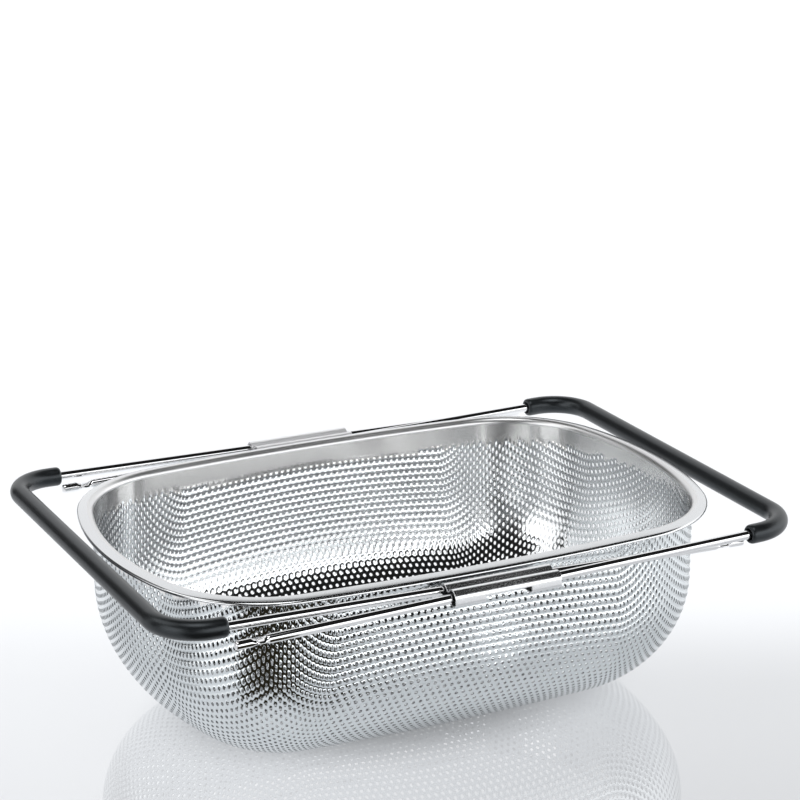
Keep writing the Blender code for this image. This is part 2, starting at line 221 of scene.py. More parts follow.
def drawSheet(blankX, blankY):
    # Where a point of the flat blank comes to lie when the basket is drawn from it. Inside the
    # floor's outline it stays. Outside, its distance s from the outline becomes s + k s^2 up the
    # bowl and wall, and its place round the basket lies between an even spread and its own arc.
    signX = np.where(blankX < 0, -1.0, 1.0)
    signY = np.where(blankY < 0, -1.0, 1.0)
    x = np.abs(blankX)
    y = np.abs(blankY)
    floorSize = basket["floorSize"]
    shortX, longY, cornerX, cornerY, shortAngle, longAngle = planArcs(floorSize)
    shortTurn = np.arctan2(y, x - shortX)
    longTurn = np.arctan2(y - longY, x)
    onShort = shortTurn <= shortAngle
    onLong = ~onShort & (longTurn >= longAngle)
    onCorner = ~onShort & ~onLong
    turn = np.where(onShort, shortTurn, np.where(onLong, longTurn, np.arctan2(y - cornerY, x - cornerX)))
    away = np.where(onShort, np.hypot(x - shortX, y) - floorSize[3],
                    np.where(onLong, np.hypot(x, y - longY) - floorSize[2],
                             np.hypot(x - cornerX, y - cornerY) - floorSize[4]))
    outside = away > 0
    away = np.maximum(away, 0)
    lengths = arcLengths(floorSize, away)
    before = np.where(onShort, 0, np.where(onCorner, lengths[0], lengths[0] + lengths[1]))
    first = np.where(onShort, 0, np.where(onCorner, shortAngle, longAngle))
    last = np.where(onShort, shortAngle, np.where(onCorner, longAngle, math.pi / 2))
    part = np.clip((turn - first) / (last - first), 0, 1)
    own = np.where(onShort, lengths[0], np.where(onCorner, lengths[1], lengths[2]))
    even = (before + own * part) / sum(lengths)
    cornerShare = np.sin(2 * turn) ** 2
    stretch = pattern["sideStretch"] + (pattern["cornerStretch"] - pattern["sideStretch"]) * cornerShare
    run = away + stretch * away ** 2
    share = even
    for _ in range(2):
        bowl = lookUp(bowlLength, share)
        swing = lookUp(swingTable, share, np.clip(run / bowl, 0, 1))
        grow = np.sin(swing)
        sizes = [low + (high - low) * grow for low, high in zip(floorSize, insetSizes(middleInset))]
        ringLengths = arcLengths(sizes)
        ringBefore = np.where(onShort, 0, np.where(onCorner, ringLengths[0], ringLengths[0] + ringLengths[1]))
        ringOwn = np.where(onShort, ringLengths[0], np.where(onCorner, ringLengths[1], ringLengths[2]))
        byArc = (ringBefore + ringOwn * part) / sum(ringLengths)
        share = pattern["evenShare"] * even + (1 - pattern["evenShare"]) * byArc
    bowl = lookUp(bowlLength, share)
    swing = lookUp(swingTable, share, np.clip(run / bowl, 0, 1))
    top = basket["straightWall"] - pattern["rimJoin"]
    rise = np.clip(run - bowl, 0, top)
    px, py, pz, normalTurn = bowlPoint(share, swing)
    nudge = 1e-4
    qx, qy, qz, _ = bowlPoint(share, swing + nudge)
    climb = np.stack([qx - px, qy - py, qz - pz], axis=-1)
    along = np.stack([-np.sin(normalTurn), np.cos(normalTurn), 0 * px], axis=-1)
    normal = unitOf(np.cross(climb, along))
    place = np.stack([px * signX, py * signY, pz + rise], axis=-1)
    normal = normal * np.stack([signX, signY, 0 * signX + 1], axis=-1)
    flat = np.stack([blankX, blankY, 0 * blankX + basket["sheet"] / 2], axis=-1)
    place = np.where(outside[:, None], place, flat)
    normal = np.where(outside[:, None], normal, np.array([0.0, 0.0, 1.0]))
    depth = np.where(outside, basket["straightWall"] - (run - bowl), 1.0)
    # The sheet bends most along the rows of holes that run round the basket: rows across Y on
    # the long sides, and rows thirty degrees off X on the corners
    rowStep = pattern["pitch"] * math.sqrt(3) / 2
    ridge = 0
    for rowTurn in (math.pi / 2, math.pi / 6):
        weight = np.clip(np.cos(3 * np.clip(turn - rowTurn, -math.pi / 6, math.pi / 6)), 0, 1)
        across = x * math.cos(rowTurn) + y * math.sin(rowTurn)
        ridge = ridge + weight * np.cos(2 * math.pi * across / rowStep)
    start, full = pattern["ridgeStart"]
    above, fade = pattern["ridgeEnd"]
    plainDepth = pattern["firstHole"] + pattern["firstHoleSlope"] * place[:, 1] - above
    swell = np.clip((away - start) / (full - start), 0, 1) * np.clip((depth - plainDepth) / fade, 0, 1)
    place = place - normal * (ridge * swell * pattern["ridge"])[:, None]
    return place, normal, depth


def sheetPoints(blankX, blankY):
    # Drawn points with the normal of the ridged sheet, from the points a hair away in the blank,
    # and what the ridges add to the plain normal
    hair = 4e-5
    place, plainNormal, depth = drawSheet(blankX, blankY)
    overX = drawSheet(blankX + hair, blankY)[0] - drawSheet(blankX - hair, blankY)[0]
    overY = drawSheet(blankX, blankY + hair)[0] - drawSheet(blankX, blankY - hair)[0]
    normal = np.cross(overX, overY)
    size = np.linalg.norm(normal, axis=1, keepdims=True)
    leastSize = 1e-10    # under this the blank's points have run together and the normal is lost
    normal = np.where(size > leastSize, normal / np.maximum(size, leastSize), plainNormal)
    return place, normal, depth, normal - plainNormal


def closeSheet(places, normals, lean, faceSets, thickness, shifts=(0, 0)):
    # Two skins either side of a middle surface, joined by a wall along every edge that only one
    # face uses. Gives points, faces and the normal of every face corner.
    count = len(places)
    upper = places + normals * (thickness / 2) + normals * shifts[0][:, None]
    lower = places - normals * (thickness / 2) + normals * shifts[1][:, None]
    points = np.concatenate([upper, lower])
    starts = np.concatenate([faces.ravel() for faces in faceSets])
    ends = np.concatenate([np.roll(faces, -1, axis=1).ravel() for faces in faceSets])
    keys = np.minimum(starts, ends) * count + np.maximum(starts, ends)
    _, index, uses = np.unique(keys, return_index=True, return_counts=True)
    border = index[uses == 1]
    a, b = starts[border], ends[border]
    walls = np.stack([b, a, a + count, b + count], axis=1)
    allFaces = []
    for faces in faceSets:
        allFaces += [faces, faces[:, ::-1] + count]
    allFaces.append(walls)
    skinNormals = np.concatenate([unitOf(normals + lean[0]), unitOf(-normals + lean[1])])
    corners = [skinNormals[faces.ravel()] for faces in allFaces[:-1]]
    wallNormal = unitOf(np.cross(points[walls[:, 1]] - points[walls[:, 0]],
                                 points[walls[:, 3]] - points[walls[:, 0]]))
    corners.append(np.repeat(wallNormal, 4, axis=0))
    return points, allFaces, np.concatenate(corners)


finishSlots = {"sheet": 0, "band": 1, "edge": 2, "inside": 3}    # materials of the punched pieces, in order
rimSlots = {"rim": 0, "band": 1, "bend": 2}                       # and of the rim


def perforatedSheet():
    # The blank is tiled with hexagonal cells, one to each hole. A cell's rim has twelve points,
    # its corners and the middles of its sides, which whole numbers name exactly, so that
    # neighbours share them: X counts quarter pitches and Y sixths of a row.
    pitch = pattern["pitch"]
    rowStep = pitch * math.sqrt(3) / 2
    reachX, reachY = pattern["blankReach"]
    rows = np.arange(-int(reachY / rowStep), int(reachY / rowStep) + 1)
    columns = np.arange(-int(reachX / pitch), int(reachX / pitch) + 1)
    row, column = [grid.ravel() for grid in np.meshgrid(rows, columns, indexing="ij")]
    centreX = 4 * column + 2 * (row % 2)
    centreY = 6 * row
    rimX = np.array([2, 2, 1, 0, -1, -2, -2, -2, -1, 0, 1, 2])
    rimY = np.array([0, 2, 3, 4, 3, 2, 0, -2, -3, -4, -3, -2])
    sides = len(rimX)
    toX = pitch / 4
    toY = rowStep / 6
    middle, middleNormal, middleDepth, middleTilt = sheetPoints(centreX * toX, centreY * toY)
    keep = middleDepth > pattern["rimJoin"] - pattern["keepBeyond"]
    centreX, centreY, middle = centreX[keep], centreY[keep], middle[keep]
    middleNormal, middleDepth, middleTilt = middleNormal[keep], middleDepth[keep], middleTilt[keep]
    # One whole number for each rim point finds the points that cells share
    keyShift, keyStep = 4000, 10000
    cellKeys = (centreX[:, None] + rimX + keyShift) * keyStep + centreY[:, None] + rimY + keyShift
    keys, inverse = np.unique(cellKeys, return_inverse=True)
    rimIndex = inverse.reshape(cellKeys.shape)
    sharedX = keys // keyStep - keyShift
    sharedY = keys % keyStep - keyShift
    rimPlace, rimNormal, rimDepth, rimTilt = sheetPoints(sharedX * toX, sharedY * toY)
    touch = 1e-6
    whole = (rimDepth[rimIndex] > pattern["rimJoin"] + touch).any(axis=1)
    firstDepth = pattern["firstHole"] + pattern["firstHoleSlope"] * middle[:, 1]
    holed = whole & (middleDepth > firstDepth)
    plain = whole & ~holed
    x = centreX * toX
    y = centreY * toY
    angles = np.arange(sides) * 2 * math.pi / sides
    holeX = x[holed][:, None] + pattern["hole"] / 2 * np.cos(angles)
    holeY = y[holed][:, None] + pattern["hole"] / 2 * np.sin(angles)
    edgePlace, edgeNormal, _, edgeTilt = sheetPoints(holeX.ravel(), holeY.ravel())
    inward = unitOf(np.repeat(middle[holed], sides, axis=0) - edgePlace)
    places = np.concatenate([rimPlace, edgePlace, middle[plain]])
    normals = np.concatenate([rimNormal, edgeNormal, middleNormal[plain]])
    leanUp = pattern["ridgeInside"] * np.concatenate([rimTilt, edgeTilt, middleTilt[plain]])
    leanDown = np.zeros_like(places)
    liftUp = np.zeros(len(places))
    liftDown = np.zeros(len(places))
    edges = slice(len(rimPlace), len(rimPlace) + len(edgePlace))
    leanUp[edges] -= inward * pattern["leanInside"]
    leanDown[edges] = inward * pattern["leanOutside"]
    liftUp[edges] = pattern["dimpleInside"]
    # No burr where the sheet lies flat on the floor
    burr = np.clip((edgePlace[:, 2] - basket["sheet"]) / pattern["burrRise"], 0, 1)
    liftDown[edges] = pattern["dimpleOutside"] * burr
    edge = len(rimPlace) + np.arange(len(edgePlace)).reshape(-1, sides)
    cell = rimIndex[holed]
    quads = np.stack([edge, cell, np.roll(cell, -1, axis=1), np.roll(edge, -1, axis=1)], axis=-1)
    cell = rimIndex[plain]
    heart = np.repeat((edges.stop + np.arange(plain.sum()))[:, None], sides, axis=1)
    triangles = np.stack([heart, cell, np.roll(cell, -1, axis=1)], axis=-1)
    patchX, patchY = pattern["floorPatch"]
    onFloor = (abs(x) < patchX) & (abs(y) < patchY)
    parts = {"floor": onFloor}
    for frontBack, signY in (("front", -1), ("back", 1)):
        for leftRight, signX in (("left", -1), ("right", 1)):
            quarter = ((x >= 0) == (signX > 0)) & ((y >= 0) == (signY > 0))
            parts["wall_" + frontBack + "_" + leftRight] = ~onFloor & quarter
    pieces = []
    for name, chosen in parts.items():
        faceSets = [quads[chosen[holed]].reshape(-1, 4)]
        if chosen[plain].any():
            faceSets.append(triangles[chosen[plain]].reshape(-1, 3))
        used = np.unique(np.concatenate([faces.ravel() for faces in faceSets]))
        renumber = np.zeros(len(places), dtype=np.int64)
        renumber[used] = np.arange(len(used))
        points, faces, corners = closeSheet(
            places[used], normals[used], (leanUp[used], leanDown[used]),
            [renumber[part] for part in faceSets], pattern["thickness"], (liftUp[used], liftDown[used]))
        # The inner skin takes a brighter copy of the polished steel, painted light that lightens the inside,
        # the walls of the holes the punched one, darkened with painted shade, and the plain cells under the
        # rim the satin one
        finishes = np.full(sum(len(part) for part in faces), finishSlots["sheet"])
        finishes[:len(faceSets[0])] = finishSlots["inside"]
        finishes[-len(faces[-1]):] = finishSlots["edge"]
        if len(faceSets) > 1:
            plainStart = 2 * len(faceSets[0])
            finishes[plainStart:plainStart + 2 * len(faceSets[1])] = finishSlots["band"]
        pieces.append(linkMesh("basket_" + name, points, faces, corners, finishes=finishes))
    print("perforated sheet:", int(holed.sum()), "holes in", len(pieces), "pieces")
    return pieces


def arcLine(centre, radius, start, end, steps):
    # Points of a plane arc between two angles in degrees
    angles = np.radians(np.linspace(start, end, steps + 1))
    return np.stack([centre[0] + radius * np.cos(angles), centre[1] + radius * np.sin(angles)], axis=-1)


def ringGrid(profile, roundSteps):
    # A section of inset and height carried right round the rim, on outlines that keep their centres
    shares = np.linspace(0, 1, roundSteps + 1)
    rings = []
    for inset, height in profile:
        x, y, _ = outlinePoint([np.full_like(shares, size) for size in insetSizes(inset)], shares)
        quarter = np.stack([x, y], axis=-1)
        upper = np.concatenate([quarter, quarter[-2::-1] * (-1, 1)])
        full = np.concatenate([upper, upper[-2:0:-1] * (1, -1)])
        rings.append(np.concatenate([full, np.full((len(full), 1), height)], axis=1))
    return np.array(rings)


def gridFaces(rows, columns, closeRows=False, closeColumns=False):
    # Quads of a grid of points, row by row, joined round where asked
    row = np.arange(rows if closeRows else rows - 1)[:, None]
    column = np.arange(columns if closeColumns else columns - 1)[None, :]
    nextRow = (row + 1) % rows
    nextColumn = (column + 1) % columns
    return np.stack([row * columns + column, row * columns + nextColumn,
                     nextRow * columns + nextColumn, nextRow * columns + column], axis=-1).reshape(-1, 4)


def rimBand():
    # Plain band, flange and lip: one closed section from the band's foot outside, over the lip
    # and back to its foot inside
    height = basket["height"]
    sheet = basket["sheet"]
    outerWall = basket["flange"]
    innerWall = outerWall + sheet
    bend = basket["wallBend"]
    lip = basket["lipBend"]
    gap = basket["joinGap"]
    foot = height - pattern["rimJoin"]
    lipFoot = height - basket["lip"]
    lipRound = sheet / 6    # the lip's edge is broken by this much
    bendCentre = (innerWall - bend, height - bend)
    lipCentre = (lip, height - lip)
    wallHeights = np.linspace(foot, height - bend - gap, basket["wallPoints"])
    profile = np.concatenate([
        np.stack([np.full_like(wallHeights, outerWall), wallHeights], axis=-1),
        arcLine(bendCentre, bend - sheet, 0, 90, basket["bendSteps"] // 2),
        arcLine(lipCentre, lip - sheet, 90, 180, basket["lipSteps"] // 2),
        np.array([(sheet, lipFoot + lipRound), (sheet * 0.8, lipFoot), (sheet * 0.2, lipFoot),
                  (0, lipFoot + lipRound)]),
        arcLine(lipCentre, lip, 180, 90, basket["lipSteps"]),
        np.stack([np.linspace(lip + 2 * gap, bendCentre[0] - 2 * gap, 4), np.full(4, height)], axis=-1),
        arcLine(bendCentre, bend, 90, 0, basket["bendSteps"]),
        np.stack([np.full_like(wallHeights, innerWall), wallHeights[::-1]], axis=-1)])
    # The flange falls outwards: a parabola in the distance from the bend, and the lip's foot stays
    bendSlope, lipSlope = np.tan(np.radians(basket["flangeSlope"]))
    out = np.maximum(bendCentre[0] - profile[:, 0], 0)
    drop = bendSlope * out + (lipSlope - bendSlope) * out ** 2 / (2 * (bendCentre[0] - lip))
    held = (profile[:, 1] - lipFoot) / (basket["lip"] - lip)
    profile[:, 1] -= drop * np.clip(held, 0, 1)
    grid = ringGrid(profile, basket["roundSteps"])
    count, size = grid.shape[:2]
    # The two short walls under the flange are satin like the band and the bend is duller still
    row = np.repeat(np.arange(count), size)
    innerStart = count - basket["wallPoints"] - 1
    bendStart = innerStart - basket["bendSteps"]
    onWall = (row < basket["wallPoints"]) | (row >= innerStart)
    finishes = np.where(row >= bendStart, rimSlots["bend"], rimSlots["rim"])
    finishes = np.where(onWall, rimSlots["band"], finishes)
    return linkMesh("basket_rim", grid.reshape(-1, 3), [gridFaces(count, size, True, True)], sharp=40,
                    finishes=finishes)


def handlePath():
    # Corners of a handle's rod in its own plane, with +X towards its grip and its outer leg at
    # -Y. A leg's distance from the middle grows towards its tip by the tangent of the splay.
    spread = math.tan(math.radians(rod["splay"]))
    outer = rod["innerOffset"] + rod["pitch"]
    inner = rod["innerOffset"]
    tip, cross = rod["tip"], rod["crossbar"]
    return np.array([(-tip, -(outer + tip * spread)), (cross, -(outer - cross * spread)),
                     (cross, inner - cross * spread), (-tip, inner + tip * spread)])


def handleLine(corners, distances):
    # The rod's middle line: points of each leg at the given distances from its tip, and between
    # them two arcs that round the corners
    legs = [tip + unitOf(corner - tip) * distances[:, None]
            for tip, corner in ((corners[0], corners[1]), (corners[3], corners[2]))]
    bends = [bendLine(*corners[first:first + 3], rod["corner"], rod["bendSteps"]) for first in (0, 1)]
    return np.concatenate([legs[0], *bends, legs[1][::-1]])


def bendLine(before, corner, after, radius, steps):
    # Arc that rounds one corner of a plane path, tangent to both its sides
    into = unitOf(before - corner)
    out = unitOf(after - corner)
    half = math.acos(into @ out) / 2
    centre = corner + unitOf(into + out) * radius / math.sin(half)
    first = corner + into * radius / math.tan(half) - centre
    last = corner + out * radius / math.tan(half) - centre
    start = math.degrees(math.atan2(first[1], first[0]))
    turn = (math.degrees(math.atan2(last[1], last[0])) - start + 180) % 360 - 180
    return arcLine(centre, radius, start, start + turn, steps)


def headings(line):
    # Way of a plane line at each point: the mean of the ways of the two stretches that meet there
    ahead = unitOf(np.diff(line, axis=0))
    return unitOf(np.concatenate([ahead[:1], ahead[:-1] + ahead[1:], ahead[-1:]]))


def tubeRings(line, widths, heights, sides):
    # Elliptical rings square to a plane line: the width lies in the plane, the height across it
    way = headings(line)
    turn = np.arange(sides) * 2 * math.pi / sides
    across = np.cos(turn)[None, :] * np.asarray(widths)[:, None]
    return np.stack([line[:, :1] - way[:, 1:] * across, line[:, 1:] + way[:, :1] * across,
                     np.sin(turn)[None, :] * np.asarray(heights)[:, None]], axis=-1)


def intoHandle(points, side):
    # From a handle's own plane into the frame: tilted about Y, turned half round for the left
    # one, and lifted to the rods' height
    tilt = math.radians(rod["tilt"])
    x, y, z = points[..., 0], points[..., 1], points[..., 2]
    return np.stack([side * (x * math.cos(tilt) - z * math.sin(tilt)), side * y,
                     x * math.sin(tilt) + z * math.cos(tilt) + rod["height"]], axis=-1)


def ease(keys, values, at):
    # Values between keys, leaving and reaching each key level: 3t^2 - 2t^3 of the way for part t
    spot = np.clip(np.searchsorted(keys, at, side="right") - 1, 0, len(keys) - 2)
    low, high = np.asarray(keys)[spot], np.asarray(keys)[spot + 1]
    part = np.clip((at - low) / (high - low), 0, 1)
    part = part ** 2 * (3 - 2 * part)
    values = np.asarray(values)
    return values[spot] * (1 - part) + values[spot + 1] * part


wireTip = {    # distances from the rod's end, with its half width and half height there
    "keys": (0.0018, 0.0084, 0.0106, 0.0120, 0.0150, 0.0164, 0.0182),
    "width": (0.0025, 0.0025, 0.0030, 0.0041, 0.0041, 0.0030, 0.0025),
    "height": (0.0025, 0.0025, 0.0016, 0.0010, 0.0010, 0.0016, 0.0025),
    "round": 0.0012,
    "roundPoints": 6,
    "neckPoints": 40,
}


def makeWire(side, name):
    # A quarter round at each end, then the flattened neck, then the plain rod right round the U
    radius = rod["radius"]
    capTurn = np.radians(np.linspace(0, 90, wireTip["roundPoints"]))
    capAway = wireTip["round"] * (1 - np.cos(capTurn))
    capRadius = radius - wireTip["round"] * (1 - np.sin(capTurn))
    neckAway = np.linspace(wireTip["keys"][0], wireTip["keys"][-1], wireTip["neckPoints"])
    line = handleLine(handlePath(), np.concatenate([capAway, neckAway]))
    bent = np.full(2 * (rod["bendSteps"] + 1), radius)
    sizes = []
    for profile in (wireTip["width"], wireTip["height"]):
        end = np.concatenate([capRadius, ease(wireTip["keys"], profile, neckAway)])
        sizes.append(np.concatenate([end, bent, end[::-1]]))
    rings = intoHandle(tubeRings(line, *sizes, rod["sides"]), side)
    count, sides = rings.shape[:2]
    caps = [np.arange(sides)[None, ::-1], np.arange(sides)[None, :] + (count - 1) * sides]
    return linkMesh(name, rings.reshape(-1, 3), [gridFaces(count, sides, False, True)] + caps, sharp=50)


grip = {
    "radius": 0.0054,
    "legReach": 0.1525,
    "bore": 0.0028,
    "endRound": 0.0022,
    "mouth": 0.0043,
    "recessRadius": 0.0036,
    "recessDepth": 0.0016,
    "recessEdge": (0.0003, 0.0001),    # depth and width of the broken edge inside the mouth
    "endPoints": 9,
    "sides": 40,
}


def makeGrip(side, name):
    # A skin with quarter-round ends, and a bore with a wider recess at each end turned back
    # inside it, joined end to end into one closed tube
    corners = handlePath()
    start = (rod["tip"] + grip["legReach"]) / math.cos(math.radians(rod["splay"]))
    turn = np.radians(np.linspace(0, 90, grip["endPoints"]))
    away = grip["endRound"] * (1 - np.cos(turn))
    radii = grip["mouth"] + (grip["radius"] - grip["mouth"]) * np.sin(turn)
    edgeDepth, edgeWidth = grip["recessEdge"]

    def layer(distances, ends, body):
        size = np.concatenate([ends, np.full(2 * (rod["bendSteps"] + 1), body), ends[::-1]])
        return tubeRings(handleLine(corners, start + distances), size, size, grip["sides"])

    skin = layer(away, radii, grip["radius"])
    hollowEnds = np.array([grip["recessRadius"], grip["recessRadius"] - edgeWidth, grip["bore"]])
    hollow = layer(np.array([0.0, edgeDepth, grip["recessDepth"]]), hollowEnds, grip["bore"])
    rings = intoHandle(np.concatenate([skin, hollow[::-1]]), side)
    count, sides = rings.shape[:2]
    return linkMesh(name, rings.reshape(-1, 3), [gridFaces(count, sides, True, True)], sharp=50)


guide = {
    "length": 0.063,
    "sheet": 0.0007,
    "clearance": 0.0013,
    "tabLength": 0.018,
    "weldGap": 0.0003,
    "bend": 0.0012,
    "fold": 0.0021,
    "valley": 0.0009,
    "humpEnd": 45,
    "weldFlange": 0.0056,
    "tabGap": 0.0005,
    "drift": 0.00044,            # what the splay adds to the rods' distance inside the guide
    "edgeRound": 0.00012,
    "bendSteps": 8,
    "humpSteps": 18,
    "foldSteps": 10,
    "tabSteps": 6,
    "middleSteps": 11,
}


def guideLine():
    # Middle line of the folded sheet, as distance from the basket's middle plane and height:
    # weld flange, step out under the rim, two humps with a valley between, outer leg and fold.
    # Also gives how many of its points the middle of the guide shares with its tabs.
    radius = rod["radius"] + guide["clearance"] + guide["sheet"] / 2
    inner = rod["innerOffset"] + guide["drift"]
    outer = inner + rod["pitch"]
    weld = basket["rimSize"][1] - basket["flange"] + guide["weldGap"] + guide["sheet"] / 2
    low = rod["height"] - radius
    bend, bendSteps, humpSteps = guide["bend"], guide["bendSteps"], guide["humpSteps"]
    foot, knee = np.array((weld, low - guide["weldFlange"])), np.array((weld, low))
    step, legTop = np.array((inner - radius, low)), np.array((inner - radius, rod["height"]))
    first = arcLine((inner, rod["height"]), radius, 180, guide["humpEnd"], humpSteps)
    second = arcLine((outer, rod["height"]), radius, 180 - guide["humpEnd"], 0, humpSteps)
    end = math.radians(guide["humpEnd"])
    run = rod["pitch"] / 2 - radius * math.cos(end)
    valley = np.array((inner + rod["pitch"] / 2, first[-1][1] - run / math.tan(end)))
    humps = np.concatenate([foot[None], bendLine(foot, knee, step, bend, bendSteps),
                            bendLine(knee, step, legTop, bend, bendSteps), first,
                            bendLine(first[-1], valley, second[0], guide["valley"], bendSteps), second])
    fold = np.array((outer + radius, low))
    tabEnd = np.array((inner - radius + guide["sheet"] / 2 + guide["tabGap"], low))
    tab = bendLine(second[-1], fold, tabEnd, guide["fold"], guide["foldSteps"])
    return np.concatenate([humps, tab, tabEnd[None]]), len(humps)


def makeSleeve(side, name):
    # The section is carried along X. Past the outer leg it goes on only in the two end tabs.
    line, shared = guideLine()
    line = line * (side, 1)
    way = headings(line)
    half = guide["length"] / 2
    tab = half - guide["tabLength"]
    endStations = np.linspace(tab, half, guide["tabSteps"] + 1)
    middleStations = np.linspace(-tab, tab, guide["middleSteps"] + 1)[1:-1]
    stations = np.concatenate([-endStations[::-1], middleStations, endStations])
    rows, columns = len(line), len(stations)
    places = np.zeros((rows, columns, 3))
    places[..., 0] = stations[None, :]
    places[..., 1:] = line[:, None, :]
    normals = np.zeros_like(places)
    normals[..., 1] = -way[:, 1:] * side
    normals[..., 2] = way[:, :1] * side
    faces = gridFaces(rows, columns)
    cellRow, cellColumn = np.divmod(np.arange(len(faces)), columns - 1)
    middle = (stations[:-1] + stations[1:]) / 2
    faces = faces[(cellRow < shared - 1) | (np.abs(middle[cellColumn]) > tab)]
    across = np.cross(places[1, 0] - places[0, 0], places[0, 1] - places[0, 0])
    if across @ normals[0, 0] > 0:
        faces = faces[:, ::-1]
    used = np.unique(faces)
    renumber = np.zeros(rows * columns, dtype=np.int64)
    renumber[used] = np.arange(len(used))
    flatPlaces = places.reshape(-1, 3)[used]
    flatNormals = normals.reshape(-1, 3)[used]
    zero = np.zeros(len(used))
    points, allFaces, _ = closeSheet(flatPlaces, flatNormals, (0 * flatPlaces, 0 * flatPlaces),
                                     [renumber[faces]], guide["sheet"], (zero, zero))
    piece = linkMesh(name, points, allFaces, sharp=35)
    bevel = piece.modifiers.new("edges", "BEVEL")
    bevel.width = guide["edgeRound"]
    bevel.segments = 1
    bevel.limit_method = "ANGLE"
    bevel.angle_limit = math.radians(50)
    return piece


def setSockets(tree, node, sockets):
    # Each socket, by name or number, takes a plain value or another node's outlet
    for socket, value in sockets.items():
        if isinstance(value, bpy.types.NodeSocket):
            tree.links.new(value, node.inputs[socket])
        else:
            node.inputs[socket].default_value = value


def addNode(tree, kind, sockets=None, outlet=0, **settings):
    # New shader node with its settings and sockets, and the outlet that is wanted of it
    node = tree.nodes.new("ShaderNode" + kind)
    for setting, value in settings.items():
        setattr(node, setting, value)
    setSockets(tree, node, sockets or {})
    return node.outputs[outlet]


def addRange(tree, source, edges, values, smooth=False):
    # Brings what the source runs through between two edges to a run between two values
    kind = "SMOOTHSTEP" if smooth else "LINEAR"
    return addNode(tree, "MapRange", {"Value": source, "From Min": edges[0], "From Max": edges[1],
                                      "To Min": values[0], "To Max": values[1]}, interpolation_type=kind)


def addNoise(tree, place, scale, detail):
    return addNode(tree, "TexNoise", {"Vector": place, "Scale": scale, "Detail": detail}, "Fac")


def newMaterial(name, sockets):
    # Material, its node tree, its shader with the given values, and the outlet with the place
    material = bpy.data.materials.new(name)
    material.use_nodes = True
    tree = material.node_tree
    shader = tree.nodes["Principled BSDF"]
    setSockets(tree, shader, sockets)
    return material, tree, shader, addNode(tree, "TexCoord", outlet="Object")


def addClouds(tree, shader, place, settings, detail, spread):
    # Clouds between the two roughnesses, and from the dark to the light colour, which is given back
    clouds = addNoise(tree, place, settings["cloudScale"], detail)
    setSockets(tree, shader, {"Roughness": addRange(tree, clouds, spread, settings["rough"])})
    return addNode(tree, "Mix", {"Factor": clouds, "A": (*settings["dark"], 1), "B": (*settings["light"], 1)},
                   "Result", data_type="RGBA")


def addGrain(tree, shader, place, scale, detail, settings):
    sockets = {"Height": addNoise(tree, place, scale, detail), "Strength": settings["bump"],
               "Distance": settings["bumpDepth"]}
    setSockets(tree, shader, {"Normal": addNode(tree, "Bump", sockets)})


def steelFinish(name, settings):
    # Polished or satin stainless: soft clouds in colour and roughness, and fine lines or a faint
    # unevenness in the bump
    material, tree, shader, place = newMaterial(name, {"Metallic": settings.get("metal", 1.0)})
    colour = addClouds(tree, shader, place, settings, detail=4, spread=(0.3, 0.7))
    if "ends" in settings:
        # Painted shade: darker towards the short ends
        start, full, least = settings["ends"]
        along = addNode(tree, "SeparateXYZ", {"Vector": place}, "X")
        apart = addNode(tree, "Math", {0: along}, operation="ABSOLUTE")
        shade = addRange(tree, apart, (start, full), (1, least), smooth=True)
        colour = addNode(tree, "VectorMath", {0: colour, "Scale": shade}, operation="SCALE")
    setSockets(tree, shader, {"Base Color": colour})
    if "stroke" in settings:
        # Brushed: the reflection is drawn out across the brushing, up and down the band
        upward = addNode(tree, "CombineXYZ", {"X": 0.02, "Y": 0.03, "Z": 1.0})
        setSockets(tree, shader, {"Anisotropic": settings["stroke"], "Tangent": upward})
    stretched = addNode(tree, "Mapping", {"Vector": place, "Scale": settings["grain"]})
    addGrain(tree, shader, stretched, 1.0, 3, settings)
    return material


def rubberFinish(name, settings):
    # Dark satin rubber with a fine grain and slightly worn, greyer clouds
    material, tree, shader, place = newMaterial(name, {
        "Metallic": 0.0, "Specular IOR Level": settings["specular"],
        "Specular Tint": (*settings["sheen"], 1)})
    colour = addClouds(tree, shader, place, settings, detail=5, spread=(0, 1))
    setSockets(tree, shader, {"Base Color": colour})
    addGrain(tree, shader, place, settings["grain"], 2, settings)
    return material


# In each finish the clouds run from dark to light and through the two roughnesses, and the grain
# is how finely the bump is drawn, along X, Y and Z for steel
sheetSteel = {
    "dark": (0.68, 0.715, 0.73), "light": (0.745, 0.78, 0.795), "cloudScale": 30, "rough": (0.06, 0.11),
    "grain": (260, 260, 260), "bump": 0.12, "bumpDepth": 0.0004,
}
# Painted light: the same polished steel as the outer skin, made brighter to light up the inside of the basket
insideSteelLit = {
    "dark": (0.80, 0.82, 0.83), "light": (0.88, 0.90, 0.91), "cloudScale": 30, "rough": (0.06, 0.11),
    "grain": (260, 260, 260), "bump": 0.12, "bumpDepth": 0.0004,
    "ends": (0.115, 0.160, 0.72),      # painted shade: where along X it starts to darken and is darkest, and its shade there
}
bandSteel = {
    "dark": (0.86, 0.85, 0.835), "light": (0.93, 0.918, 0.902), "cloudScale": 12, "rough": (0.15, 0.20),
    "grain": (4, 4, 260), "bump": 0.03, "bumpDepth": 0.00003,
    "stroke": 0.9,
}
rimSteel = {
    "dark": (0.67, 0.68, 0.69), "light": (0.74, 0.75, 0.76), "cloudScale": 18, "rough": (0.14, 0.20),
    "grain": (200, 200, 200), "bump": 0.06, "bumpDepth": 0.0002,
}
bendSteel = {
    "dark": (0.70, 0.70, 0.70), "light": (0.78, 0.78, 0.78), "cloudScale": 18, "rough": (0.30, 0.36),
    "grain": (200, 200, 200), "bump": 0.06, "bumpDepth": 0.0002,
}
